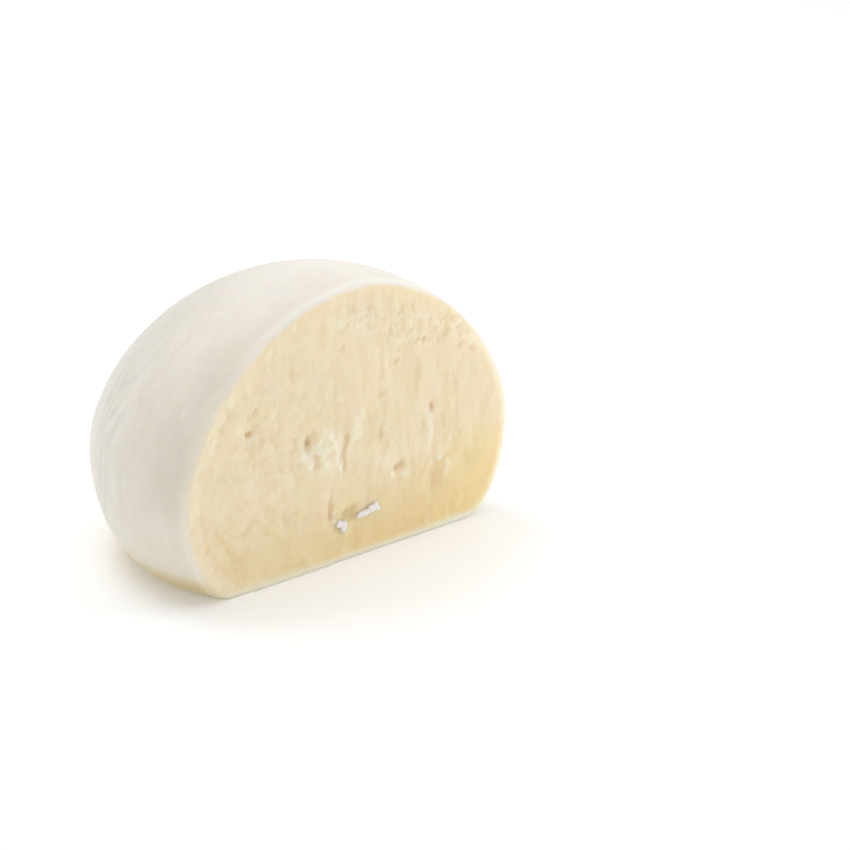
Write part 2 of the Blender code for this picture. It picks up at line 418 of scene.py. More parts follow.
def only(piece):
    """Selects one object and makes it the active one."""
    bpy.ops.object.select_all(action="DESELECT")
    piece.select_set(True)
    bpy.context.view_layer.objects.active = piece


def apply_modifier(piece, name, kind, **settings):
    """Adds a modifier and applies it at once."""
    only(piece)
    modifier = piece.modifiers.new(name, kind)
    for key, value in settings.items():
        setattr(modifier, key, value)
    bpy.ops.object.modifier_apply(modifier=name)


def edit_faces(piece, wanted):
    """Enters edit mode with just the wanted faces selected; wanted is a test on a face."""
    only(piece)
    bpy.ops.object.mode_set(mode="EDIT")
    bpy.ops.mesh.select_all(action="DESELECT")
    bpy.ops.mesh.select_mode(type="FACE")
    bpy.ops.object.mode_set(mode="OBJECT")
    for face in piece.data.polygons:
        face.select = wanted(face)
    bpy.ops.object.mode_set(mode="EDIT")


def end_edit():
    """Leaves edit mode with nothing selected."""
    bpy.ops.mesh.select_all(action="DESELECT")
    bpy.ops.object.mode_set(mode="OBJECT")


def places_of(piece):
    """The places of all vertices, one row each."""
    rows = np.empty(len(piece.data.vertices) * 3, dtype=np.float32)
    piece.data.vertices.foreach_get("co", rows)
    return rows.reshape(-1, 3).astype(float)


def normals_of(piece):
    """The directions in which all vertices face, one row each."""
    rows = np.empty(len(piece.data.vertices) * 3, dtype=np.float32)
    piece.data.vertex_normals.foreach_get("vector", rows)
    return rows.reshape(-1, 3).astype(float)


def soft_step(value, low, high):
    """0 at or below low, 1 at or above high, and smooth in between."""
    share = np.clip((value - low) / (high - low), 0, 1)
    return share * share * (3 - 2 * share)


def weigh(piece, name, shares):
    """Makes a vertex group from one weight for each vertex, without the negligible ones."""
    group = piece.vertex_groups.new(name=name)
    for index in np.nonzero(shares > LEAST_WEIGHT)[0]:
        group.add([int(index)], float(min(1.0, shares[index])), "REPLACE")


def press(piece, name, rise, reach, direction, outward):
    """Raises the surface where rise is positive and sinks it where it is negative (metres)."""
    for part, shares, strength in (
        ("raised", np.clip(rise / reach, 0, 1), outward * reach),
        ("sunken", np.clip(-rise / reach, 0, 1), -outward * reach),
    ):
        group = name + "_" + part
        weigh(piece, group, shares)
        apply_modifier(
            piece,
            group,
            "DISPLACE",
            vertex_group=group,
            strength=strength,
            mid_level=0.0,
            direction=direction,
        )


def store(piece, name, values):
    """Keeps one number for each vertex as an attribute that materials can read."""
    layer = piece.data.attributes.new(name, "FLOAT", "POINT")
    layer.data.foreach_set("value", np.asarray(values, dtype=np.float32))


# ---------------------------------------------------------------- patterns


def mound(across, height, centre, half_sizes):
    """A smooth mound: 1 at its centre, 0 from its half sizes outwards."""
    far = np.hypot((across - centre[0]) / half_sizes[0], (height - centre[1]) / half_sizes[1])
    return np.where(far < 1, (1 - np.minimum(far, 1) ** 2) ** 2, 0.0)


def along_line(across, height, line):
    """How far places lie from a line, how far to one side of it, and how far along it, 0 to 1."""
    nearest = np.full(across.shape, np.inf)
    side = np.zeros(across.shape)
    share = np.zeros(across.shape)
    count = len(line) - 1
    for number, (start, end) in enumerate(zip(line[:-1], line[1:])):
        run = (end[0] - start[0], end[1] - start[1])
        length = math.hypot(*run)
        part = ((across - start[0]) * run[0] + (height - start[1]) * run[1]) / length**2
        part = np.clip(part, 0, 1)
        away = np.hypot(across - start[0] - part * run[0], height - start[1] - part * run[1])
        turn = ((across - start[0]) * -run[1] + (height - start[1]) * run[0]) / length
        closer = away < nearest
        nearest = np.where(closer, away, nearest)
        side = np.where(closer, turn, side)
        share = np.where(closer, (number + part) / count, share)
    return nearest, side, share


def cloud(across, height, name):
    """Smooth noise from about -1 to 1, as the table of clouds gives it."""
    width, length, own_number, layers = CLOUDS[name]
    values = np.empty(across.shape)
    for index in range(len(across)):
        place = Vector((across[index] / width, height[index] / length, own_number))
        value = noise.noise(place)
        value += 0.5 * noise.noise(place * 2.1)
        if layers > 2:
            value += 0.25 * noise.noise(place * 4.3)
        values[index] = value
    return values * 1.3


# ---------------------------------------------------------------- shader expressions


class Wire:
    """A shader socket that can stand in an arithmetic expression."""

    def __init__(self, sheet, socket):
        self.sheet = sheet
        self.socket = socket

    def __add__(self, other):
        return self.sheet.maths("ADD", self, other)

    def __radd__(self, other):
        return self.sheet.maths("ADD", other, self)

    def __sub__(self, other):
        return self.sheet.maths("SUBTRACT", self, other)

    def __rsub__(self, other):
        return self.sheet.maths("SUBTRACT", other, self)

    def __mul__(self, other):
        return self.sheet.maths("MULTIPLY", self, other)

    def __rmul__(self, other):
        return self.sheet.maths("MULTIPLY", other, self)


class Sheet:
    """A material's node sheet."""

    def __init__(self, name):
        self.material = bpy.data.materials.new(name)
        self.material.use_nodes = True
        self.tree = self.material.node_tree
        self.shader = self.tree.nodes["Principled BSDF"]

    def feed(self, socket, value):
        """Links a wire to a socket, or sets the socket's own value."""
        if isinstance(value, Wire):
            self.tree.links.new(value.socket, socket)
        else:
            socket.default_value = value

    def node(self, kind, settings, sockets, output=0):
        """Adds a node, sets it up, fills its numbered or named sockets and returns one output."""
        added = self.tree.nodes.new(kind)
        for key, value in settings.items():
            setattr(added, key, value)
        for key, value in sockets.items():
            self.feed(added.inputs[key], value)
        return Wire(self, added.outputs[output])

    def maths(self, operation, first, second):
        """Arithmetic on two numbers."""
        return self.node("ShaderNodeMath", {"operation": operation}, {0: first, 1: second})

    def clamp(self, value):
        """The value, kept between 0 and 1."""
        return self.node("ShaderNodeClamp", {}, {"Value": value})

    def step(self, value, low, high):
        """0 below low, 1 above high, smooth between."""
        settings = {"interpolation_type": "SMOOTHSTEP"}
        return self.node(
            "ShaderNodeMapRange", settings, {"Value": value, "From Min": low, "From Max": high}
        )

    def mix(self, share, first, second):
        """A colour between two colours."""
        return self.node(
            "ShaderNodeMix", {"data_type": "RGBA"}, {"Factor": share, 6: first, 7: second}, output=2
        )

    def attribute(self, name):
        """One of the numbers that are stored for each vertex."""
        return self.node("ShaderNodeAttribute", {"attribute_name": name}, {}, output=2)

    def places(self, sizes):
        """Object places, divided by a pattern's size in mm along each axis."""
        place = self.node("ShaderNodeTexCoord", {}, {}, output=3)
        scale = [1 / (size * MM) for size in sizes]
        return self.node("ShaderNodeMapping", {}, {"Vector": place, "Scale": scale})

    def noise(self, name):
        """Noise from 0 to 1, as the table of patterns gives it."""
        sizes, detail, roughness = PATTERNS[name]
        sockets = {
            "Vector": self.places(sizes),
            "Scale": 1.0,
            "Detail": detail,
            "Roughness": roughness,
        }
        return self.node("ShaderNodeTexNoise", {"noise_dimensions": "3D"}, sockets)

    def bump(self, height, distance, strength, under=None):
        """Relief in the shading, distance metres deep, over another bump if one is given."""
        sockets = {"Height": height, "Distance": distance, "Strength": strength}
        if under is not None:
            sockets["Normal"] = under
        return self.node("ShaderNodeBump", {}, sockets)

    def surface(self, **sockets):
        """Sets the shader's own sockets."""
        for key, value in sockets.items():
            self.feed(self.shader.inputs[key.replace("_", " ")], value)


# ---------------------------------------------------------------- camera and studio


def add_camera():
    """The camera, at its place round the belly."""
    belly = Vector((0, 0, BELLY_HEIGHT))
    level = math.cos(CAMERA_ELEVATION)
    away = Vector(
        (
            -math.sin(CAMERA_BEARING) * level,
            -math.cos(CAMERA_BEARING) * level,
            math.sin(CAMERA_ELEVATION),
        )
    )
    bpy.ops.object.camera_add()
    camera = bpy.context.object
    camera.name = "camera"
    camera.location = belly + away * CAMERA_DISTANCE
    pitch = math.pi / 2 - CAMERA_ELEVATION - CAMERA_TILT
    camera.rotation_euler = (pitch, 0, -CAMERA_BEARING - CAMERA_TURN)
    camera.data.lens = CAMERA_LENS
    camera.data.sensor_width = CAMERA_SENSOR
    bpy.context.scene.camera = camera


def add_softbox(name, place, size, power):
    """A round soft light that points at the cheese."""
    bpy.ops.object.light_add(type="AREA", location=place)
    light = bpy.context.object
    light.name = name
    light.data.shape = "DISK"
    light.data.size = size
    light.data.energy = power
    light.visible_glossy = name not in GLOSSLESS
    aim = SOFTBOX_AIM - Vector(place)
    light.rotation_euler = aim.to_track_quat("-Z", "Y").to_euler()


def add_studio():
    """A pale table, soft boxes overhead and behind, and pale walls all round."""
    bpy.ops.object.select_all(action="DESELECT")
    bpy.ops.mesh.primitive_plane_add(size=TABLE_SIZE, location=(0, 0, -TABLE_DROP))
    table = bpy.context.object
    table.name = "table"
    white = Sheet("table_white")
    white.surface(
        Base_Color=(0.93, 0.93, 0.93, 1),
        Roughness=0.6,
        Emission_Color=(1, 1, 1, 1),
        Emission_Strength=TABLE_GLOW,
    )
    table.data.materials.append(white.material)
    for name, place, size, power in SOFTBOXES:
        add_softbox(name, place, size, power)
    world = bpy.data.worlds.new("pale_room")
    bpy.context.scene.world = world
    world.use_nodes = True
    backdrop = world.node_tree.nodes["Background"]
    backdrop.inputs["Color"].default_value = (1, 1, 1, 1)
    backdrop.inputs["Strength"].default_value = ROOM_LIGHT
    bpy.context.scene.view_settings.view_transform = "Standard"


# ---------------------------------------------------------------- the cheese's form


def copy_of_node():
    """A merged copy of the frame's solid, to be worked on."""
    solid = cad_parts[NODE]
    piece = bpy.data.objects.new("mozzarella", solid.data.copy())
    bpy.context.scene.collection.objects.link(piece)
    piece.data.materials.clear()
    edit_faces(piece, lambda face: True)
    bpy.ops.mesh.remove_doubles(threshold=MERGE_DISTANCE)
    end_edit()
    return piece


def cut_level(piece):
    """Where the mean plane of the cut stands along Y."""
    area = 0
    total = 0
    for face in piece.data.polygons:
        if face.normal.y < SQUARE_FACING:
            area += face.area
            total += face.area * face.center.y
    return total / area


def flatten_foot(piece):
    """Presses the foot flat again after the remesh, and makes it one face."""
    edit_faces(piece, lambda face: face.center.z < FOOT_BAND and face.normal.z < FOOT_FACING)
    bpy.ops.transform.resize(value=(1, 1, 0), center_override=(0, 0, 0))
    bpy.ops.mesh.dissolve_limited(angle_limit=FOOT_FLATNESS)
    end_edit()


def refine(piece, wanted):
    """Splits the wanted faces into four."""
    edit_faces(piece, wanted)
    bpy.ops.mesh.subdivide(number_cuts=1)
    end_edit()


def near_ragged(face):
    """Whether a face of the cut lies in its ragged middle."""
    across = (face.center.x / MM - RAGGED[0]) / (RAGGED[2] + RAGGED_MARGIN)
    height = (face.center.z / MM - RAGGED[1]) / (RAGGED[3] + RAGGED_MARGIN)
    return across**2 + height**2 < 1


def from_middle(across, height):
    """The bearing and the distance of places from the point that the outline goes round."""
    bearing = np.arctan2(height - OUTLINE_MIDDLE[1], across - OUTLINE_MIDDLE[0])
    return bearing, np.hypot(across - OUTLINE_MIDDLE[0], height - OUTLINE_MIDDLE[1])


def cut_outline(across, height):
    """The outline of the places on the cut, as a ring of places, one for each degree or so."""
    bearing, far = from_middle(across, height)
    best = {}
    for slot, reach, x, z in zip(np.degrees(bearing).astype(int), far, across, height):
        if slot not in best or reach > best[slot][0]:
            best[slot] = (reach, x, z)
    farthest = [best[slot] for slot in sorted(best)]
    ring = []
    for number, (reach, x, z) in enumerate(farthest):
        shifts = range(-OUTLINE_EVENING, OUTLINE_EVENING + 1)
        nearby = [farthest[(number + shift) % len(farthest)][0] for shift in shifts]
        smooth = sum(nearby) / len(nearby) / reach
        ring_x = OUTLINE_MIDDLE[0] + (x - OUTLINE_MIDDLE[0]) * smooth
        ring_z = OUTLINE_MIDDLE[1] + (z - OUTLINE_MIDDLE[1]) * smooth
        ring.append((ring_x, ring_z))
    return ring


def inside_cut(piece, level):
    """How far each vertex lies inside the cut's outline, in mm, and less than 0 out on the skin."""
    places = places_of(piece)
    normals = normals_of(piece)
    edge = (normals[:, 1] < CUT_FACING) & (places[:, 1] < level + CUT_BAND)
    ring = cut_outline(places[edge, 0], places[edge, 2])
    tree = kdtree.KDTree(len(ring) * OUTLINE_STEPS)
    for number, (x, z) in enumerate(ring):
        next_x, next_z = ring[(number + 1) % len(ring)]
        for step in range(OUTLINE_STEPS):
            share = step / OUTLINE_STEPS
            place = Vector((x + (next_x - x) * share, 0, z + (next_z - z) * share))
            tree.insert(place, number * OUTLINE_STEPS + step)
    tree.balance()
    away = np.array([tree.find(Vector((x, 0, z)))[2] for x, _, z in places])
    bearing, reach = from_middle(places[:, 0], places[:, 2])
    ring_places = np.array(ring)
    ring_bearing, ring_reach = from_middle(ring_places[:, 0], ring_places[:, 1])
    edge_reach = np.interp(bearing, ring_bearing, ring_reach, period=2 * math.pi)
    back = np.maximum(places[:, 1] - level - BACK_EDGE, 0)
    return np.where(reach < edge_reach, away - back, -np.hypot(away, back)) / MM


class CutFace:
    """The cut, place by place: its rise in mm, and how torn and how hollow it is, from 0 to 1.

    What is torn shows paler, partly its own colour and partly painted highlight on what stands high,
    and what is hollow gets painted shade. Each mark is added in turn.
    """

    def __init__(self, across, height, inside):
        self.across = across
        self.height = height
        self.inside = inside
        fine = cloud(across, height, "fine_bend_across")
        wide = cloud(across, height, "wide_bend_across")
        self.bent = across + FINE_BEND * fine + WIDE_BEND * wide
        fine = cloud(across, height, "fine_bend_up")
        wide = cloud(across, height, "wide_bend_up")
        self.tall = height + FINE_BEND * fine + WIDE_BEND * wide
        self.rise = np.zeros(across.shape)
        self.torn = np.zeros(across.shape)
        self.hollow = np.zeros(across.shape)

    def add_curd(self):
        """Upright strands on the right, and rounder lumps on the left and at the foot."""
        patches = soft_step(cloud(self.across, self.height, "patches"), -0.35, 0.65)
        right = soft_step(self.across, *STRANDS_ACROSS) * soft_step(self.height, *STRANDS_UP)
        grain = cloud(self.bent, self.height, "grain")
        strand = cloud(self.bent, self.height, "strand")
        lumps = cloud(self.across, self.height, "lumps")
        dapple = cloud(self.bent, self.tall, "dapple")
        sway = cloud(self.across, self.height, "sway")
        lively = 1 - 0.6 * soft_step(cloud(self.across, self.height, "calm"), -0.3, 0.7)
        self.rise += right * (GRAIN_RISE * grain + STRAND_RISE * strand)
        lumpy = (LUMP_RISE * lumps + DAPPLE_RISE * dapple) * (1.3 - 0.8 * right) * lively
        self.rise += lumpy + SWAY_RISE * sway
        self.rise -= PIT_DEPTH * soft_step(lumps, 0.40, 0.95) * (1 - patches)
        # High spots get painted highlight, and low spots painted shade.
        uneven = (0.6 * lumps + dapple) * (1 - 0.6 * right) + 1.1 * grain * right
        self.torn += HIGHLIGHT_AMOUNT * soft_step(uneven, 0.3, 1.2) * lively
        self.hollow += SHADE_AMOUNT * soft_step(-uneven, 0.3, 1.2) * lively

    def add_ragged_middle(self):
        """The crumbly ground that the torn curds stand on."""
        ragged = mound(self.bent, self.tall, RAGGED[:2], RAGGED[2:])
        crumble = cloud(self.across, self.height, "crumble")
        self.rise += ragged * (RAGGED_RISE + CRUMBLE_RISE * crumble)
        # The ragged ground is paler: partly the torn curd's own colour, partly painted highlight.
        self.torn += soft_step(ragged, 0, 0.5) * (0.30 + 0.35 * soft_step(crumble, -0.5, 0.7))

    def add_holes(self):
        """Holes get painted shade, the deeper the darker, and nothing in them is torn."""
        for x, z, half_width, half_height, depth in HOLES:
            sizes = (half_width * HOLE_SPREAD, half_height * HOLE_SPREAD)
            shape = mound(self.bent, self.tall, (x, z), sizes)
            self.rise -= depth * shape
            dark = soft_step(shape, 0, 0.8) * min(0.7, 0.05 + 1.4 * depth)
            self.hollow = np.maximum(self.hollow, dark)
            self.torn = self.torn * (1 - shape)

    def add_torn_curds(self):
        """Single curds get painted highlight, the higher the paler."""
        for x, z, half_width, half_height, lift in CURDS:
            sizes = (half_width * CURD_SPREAD, half_height * CURD_SPREAD)
            shape = mound(self.bent, self.tall, (x, z), sizes)
            self.rise += lift * shape
            pale = soft_step(shape, 0, 0.9) * min(0.9, 0.25 + 2.2 * lift)
            self.torn = np.maximum(self.torn, pale)

    def add_ridges(self):
        """High ridges get painted highlight. Grooves get painted shade and hide what is torn there.
        """
        for half_width, lift, line in RIDGES:
            away, _, share = along_line(self.bent, self.tall, line)
            ends = soft_step(share, -0.01, 0.18) * soft_step(1 - share, -0.01, 0.18)
            shape = np.clip(1 - (away / half_width / RIDGE_SPREAD) ** 2, 0, 1) ** 2 * ends
            self.rise += lift * shape
            if lift > 0.15:
                self.torn = np.maximum(self.torn, shape * min(0.6, 2.0 * lift))
            if lift < 0:
                self.hollow = np.maximum(self.hollow, shape * min(0.6, -1.4 * lift))
                self.torn = self.torn * (1 - 0.8 * shape)

    def add_tear(self):
        """Its shape fades towards both of its ends, and to both sides of its line."""
        away, side, share = along_line(self.bent, self.tall, TEAR)
        ends = soft_step(share, 0.0, 0.12) * soft_step(1 - share, 0.0, 0.15)
        upper = soft_step(self.height, *TEAR_UPPER)
        over = soft_step(np.where(side < 0, -away, away), -0.2, 0.9)
        flap = np.clip(1 - away / TEAR_RISE_WIDTH, 0, 1) ** 1.5
        drop = np.clip(1 - away / TEAR_DROP_WIDTH, 0, 1) ** 1.5
        fall = TEAR_DROP * drop * over * (0.6 + 0.4 * upper)
        self.rise += ends * (TEAR_RISE * flap * (1 - over) - fall)
        # Painted highlight on the raised left side, and painted shade on the right side that drops
        # away.
        near = np.clip(1 - away / TEAR_HIGHLIGHT_WIDTH, 0, 1) * ends
        self.torn = np.maximum(self.torn, near * (1 - over) * (0.05 + 0.50 * upper))
        near = np.clip(1 - away / TEAR_SHADE_WIDTH, 0, 1) * ends
        self.hollow = np.maximum(self.hollow, near * over * (0.50 - 0.25 * upper))

    def add_flecks(self):
        """Ragged flecks that stand out in patches, with painted shade in the gaps between them."""
        flecks = cloud(self.across, self.height, "flecks")
        blotch = cloud(self.bent, self.tall, "blotch")
        pale = soft_step(0.9 * flecks + 1.0 * blotch, -0.1, 1.2)
        dark = soft_step(-0.8 * flecks - 0.7 * blotch, 0.2, 1.0)
        for x, z, half_width, half_height, dense in FLECK_PATCHES:
            sizes = (half_width * PATCH_SPREAD, half_height * PATCH_SPREAD)
            patch = mound(self.across, self.height, (x, z), sizes) * dense
            self.rise += patch * (FLECK_RISE * flecks + BLOTCH_RISE * blotch)
            within = soft_step(patch, 0, 0.5)
            self.torn = np.maximum(self.torn, pale * within * (0.18 + 0.34 * dense))
            self.hollow = np.maximum(self.hollow, 0.45 * (dark * within) * dense)

    def add_pores(self):
        """Pores of uneven size and depth, always strewn in the same way."""
        seeded = random.Random(PORE_SEED)
        for _ in range(PORE_COUNT):
            x = seeded.uniform(*PORE_ACROSS)
            z = seeded.uniform(*PORE_UP)
            size = seeded.uniform(*PORE_SIZE)
            sizes = (size * PORE_SPREAD, size * seeded.uniform(*PORE_STRETCH))
            shape = mound(self.bent, self.tall, (x, z), sizes)
            depth = seeded.uniform(*PORE_DEPTH)
            self.rise -= depth * shape
            # Each pore gets painted shade, the deeper the darker.
            self.hollow = np.maximum(self.hollow, 1.1 * depth * shape)

    def add_edge(self):
        """The layer, its groove and the beads of curd just inside the skin."""
        layer = soft_step(LAYER_WIDTH + LAYER_SOFTNESS / 2 - self.inside, 0, LAYER_SOFTNESS)
        groove = np.exp(-(((self.inside - LAYER_WIDTH - GROOVE_BEYOND) / GROOVE_WIDTH) ** 2))
        to_left = soft_step(-self.across, *LAYER_RELIEF_LEFT)
        self.rise += to_left * (LAYER_RISE * layer - GROOVE_DEPTH * groove)
        beads = soft_step(cloud(self.across, self.height, "beads"), 0.2, 0.9)
        near_edge = np.exp(-(((self.inside - BEAD_PLACE) / BEAD_WIDTH) ** 2))
        near_edge = near_edge * soft_step(-self.across, -6, 16) * soft_step(self.height, 3, 8)
        self.rise += BEAD_RISE * beads * near_edge
        self.torn = np.maximum(self.torn, 0.55 * beads * near_edge)


def cut_relief(across, height, inside):
    """How far each place on the cut stands out, with how torn and how hollow it is (mm, 0-1, 0-1)."""
    cut = CutFace(across, height, inside)
    cut.add_curd()
    cut.add_ragged_middle()
    cut.add_holes()
    cut.add_torn_curds()
    cut.add_ridges()
    cut.add_tear()
    cut.add_flecks()
    cut.add_pores()
    cut.add_edge()
    return cut.rise, cut.torn, cut.hollow


def swell(spot, name):
    """Rounded noise from about -1 to 1, as the table of swells gives it."""
    size, own_number = SWELLS[name]
    turned = SWELL_TURN @ spot
    return noise.noise(turned / size + Vector((own_number, 0, 0)), noise_basis="PERLIN_NEW")


def pleats(spot, back, name):
    """Long noise from about -1 to 1 that runs round the ball: back is the place across the pleats."""
    length, width, own_number = PLEATS[name]
    place = Vector((spot.x / length + 0.4, back / width, spot.z / length + own_number))
    return noise.noise(place, noise_basis="PERLIN_NEW")


def skin_relief(places):
    """The skin's faint folds, which mostly run round the ball behind the cut, and the painted
    highlight and shade that go with them.

    The rise is in mm. The shade, painted highlight and painted shade, is 1 on the palest fold and -1
    in the deepest crease. The last number, 0 to 1, is how much the skin is drawn into fine strands
    there.
    """
    rise = np.zeros(len(places))
    shade = np.zeros(len(places))
    drawn = np.zeros(len(places))
    for index, place in enumerate(places):
        spot = Vector(place / MM)
        wander = WIDE_WANDER * swell(spot, "wide_wander")
        back = spot.y + wander + FINE_WANDER * swell(spot, "fine_wander")
        back = back + SLANT * swell(spot, "slant") * (spot.z - SLANT_HEIGHT)
        fold = pleats(spot, back, "fold")
        small_fold = pleats(spot, back, "small_fold")
        crepe = swell(spot, "crepe") + 0.6 * swell(spot, "fine_crepe")
        zone = max(0.0, 1 - ((spot.y - FOLD_MIDDLE) / FOLD_REACH) ** 2)
        crown = min(1.0, max(0.0, (spot.z - CROWN_START) / CROWN_SPAN))
        patch = min(1.0, max(0.0, 0.65 + 1.1 * swell(spot, "patch")))
        share = patch * (0.08 + 0.92 * zone) * (1 - 0.6 * crown)
        broad = swell(spot, "broad") + 0.4 * swell(spot, "less_broad")
        folds = share * (FOLD_RISE * fold + SMALL_FOLD_RISE * small_fold)
        rise[index] = SWELL_RISE * broad + folds + CREPE_RISE * crepe
        shade[index] = share * (1.8 * fold + 1.2 * small_fold) + 0.20 * crepe
        drawn[index] = 0.45 + 0.55 * share
    return rise, np.clip(shade, -1, 1), drawn


def spread_out(count, chosen, values):
    """One number for each vertex: the values for the chosen ones, and 0 elsewhere."""
    spread = np.zeros(count)
    spread[chosen] = values
    return spread


def shape_cheese():
    """The dressed cheese, and where the plane of its cut stands."""
    piece = copy_of_node()
    level = cut_level(piece)
    apply_modifier(piece, "even_mesh", "REMESH", mode="VOXEL", voxel_size=MESH_SIZE)
    apply_modifier(piece, "soft_edges", "SMOOTH", factor=0.5, iterations=SMOOTH_PASSES)
    flatten_foot(piece)

    def on_cut(face):
        return face.normal.y < CUT_FACING and face.center.y < level + CUT_BAND

    refine(piece, on_cut)
    refine(piece, lambda face: on_cut(face) and near_ragged(face))
    places = places_of(piece)
    normals = normals_of(piece)
    inside = inside_cut(piece, level)

    facing = soft_step(-normals[:, 1], *FACING_SHARES) * (places[:, 1] < level + CUT_BAND)
    cut = np.nonzero(facing > 0)[0]
    across = places[cut, 0] / MM
    height = places[cut, 2] / MM
    fade = soft_step(inside[cut], EDGE_START, EDGE_FULL) * soft_step(height, *CUT_RELIEF_UP)
    rise, torn, hollow = cut_relief(across, height, np.maximum(inside[cut], 0))
    relief = spread_out(len(places), cut, rise * fade * soft_step(facing[cut], 0, 0.4))
    press(piece, "curd", relief * MM, CUT_REACH, "Y", -1)

    skin_rise, shade, drawn = skin_relief(places)
    skin = (1 - facing) * soft_step(places[:, 2] / MM, *SKIN_RELIEF_UP)
    skin = skin * soft_step(-inside, *SKIN_RELIEF_BACK)
    press(piece, "skin", skin_rise * skin * MM, SKIN_REACH, "NORMAL", 1)

    # Torn places show paler, partly their own colour and partly painted highlight; hollows get
    # painted shade.
    store(piece, "torn", spread_out(len(places), cut, torn * fade))
    store(piece, "hollow", spread_out(len(places), cut, hollow * fade))
    store(piece, "facing", facing)
    store(piece, "inside", inside)
    # Painted highlight on the skin's folds, and painted shade in its creases.
    store(piece, "fold", np.clip(shade * skin, 0, 1))
    store(piece, "crease", np.clip(-shade * skin, 0, 1))
    store(piece, "drawn", drawn * skin)
    piece.data.shade_smooth()
    return piece, level


# ---------------------------------------------------------------- crumbs


def add_knob(level, x, z, half_across, half_out, half_up, lean):
    """One rounded knob of curd that sinks a little into the cut."""
    bpy.ops.object.select_all(action="DESELECT")
    bpy.ops.mesh.primitive_ico_sphere_add(subdivisions=3, radius=1)
    knob = bpy.context.object
    only(knob)
    bpy.ops.object.mode_set(mode="EDIT")
    bpy.ops.mesh.select_all(action="SELECT")
    bpy.ops.transform.resize(value=(half_across * MM, half_out * MM, half_up * MM))
    bpy.ops.transform.rotate(value=math.radians(lean), orient_axis="Y", center_override=(0, 0, 0))
    bpy.ops.transform.translate(value=(x * MM, level - CRUMB_SINK * half_out * MM, z * MM))
    end_edit()
    return knob


def shape_crumb(level, group, name):
    """One crumb of wet curd, made of a few knobs run together, stuck to the cut."""
    knobs = [add_knob(level, *CRUMBS[index]) for index in group]
    bpy.ops.object.select_all(action="DESELECT")
    for knob in knobs:
        knob.select_set(True)
    bpy.context.view_layer.objects.active = knobs[0]
    bpy.ops.object.join()
    crumb = bpy.context.object
    crumb.name = name
    apply_modifier(crumb, "run_together", "REMESH", mode="VOXEL", voxel_size=CRUMB_MESH)
    apply_modifier(crumb, "soften", "SMOOTH", factor=0.5, iterations=CRUMB_SMOOTH_PASSES)
    places = places_of(crumb)
    rise = np.array([noise.noise(Vector(place / MM * 1.3)) for place in places])
    rise += 0.5 * np.array([noise.noise(Vector(place / MM * 3.1)) for place in places])
    press(crumb, "lumpy", rise * CRUMB_LUMP, CRUMB_REACH, "NORMAL", 1)
    crumb.data.shade_smooth()
    return crumb


# ---------------------------------------------------------------- materials


def skin_colour(sheet, strokes, back, height):
    """White skin: its own cloudy tone, folds, creases and brushed strands with painted highlight and
    shade, a crown lightened by painted light, and warm painted shade at the foot, lifted by painted
    light at the table.
    """
    fold = sheet.attribute("fold")
    crease = sheet.attribute("crease")
    drawn = sheet.attribute("drawn")
    blush = sheet.noise("blush")
    cloudy = sheet.noise("cloudy")
    tone = sheet.step(blush, 0.35, 0.65) * 0.7 + sheet.step(cloudy, 0.40, 0.64) * 0.3
    skin = sheet.mix(tone, SKIN_PALE, SKIN_SHADE)
    skin = sheet.mix(sheet.step(back, *COOL_BACK) * 0.6, skin, SKIN_COOL)
    # Painted light on the crown.
    skin = sheet.mix(sheet.step(height, *LIT_CROWN_UP) * 0.6, skin, SKIN_LIT_CROWN)
    # Painted highlight on the folds, and painted shade in the creases.
    skin = sheet.mix(sheet.clamp(fold * 0.6), skin, SKIN_RIM_WHITE_AND_HIGHLIGHT)
    skin = sheet.mix(sheet.clamp(crease * 0.6), skin, SKIN_CREASE_SHADE)
    # Painted highlight and painted shade along the brushed strands.
    skin = sheet.mix(sheet.step(strokes, 0.52, 0.68) * drawn * 0.4, skin, SKIN_RIM_WHITE_AND_HIGHLIGHT)
    skin = sheet.mix(sheet.step(strokes, 0.48, 0.32) * drawn * 0.4, skin, SKIN_CREASE_SHADE)
    skin = sheet.mix(sheet.step(height, *LOW_UP) * 0.6, skin, SKIN_LOW)
    # Warm painted shade where the foot turns under towards the table.
    skin = sheet.mix(sheet.step(height, *FOOT_SHADE_UP), skin, SKIN_FOOT_SHADE)
    # Painted light lifts the foot's shade again right at the table.
    return sheet.mix(sheet.step(height, *CONTACT_LIGHT_UP) * 0.7, skin, SKIN_CONTACT_LIGHT)


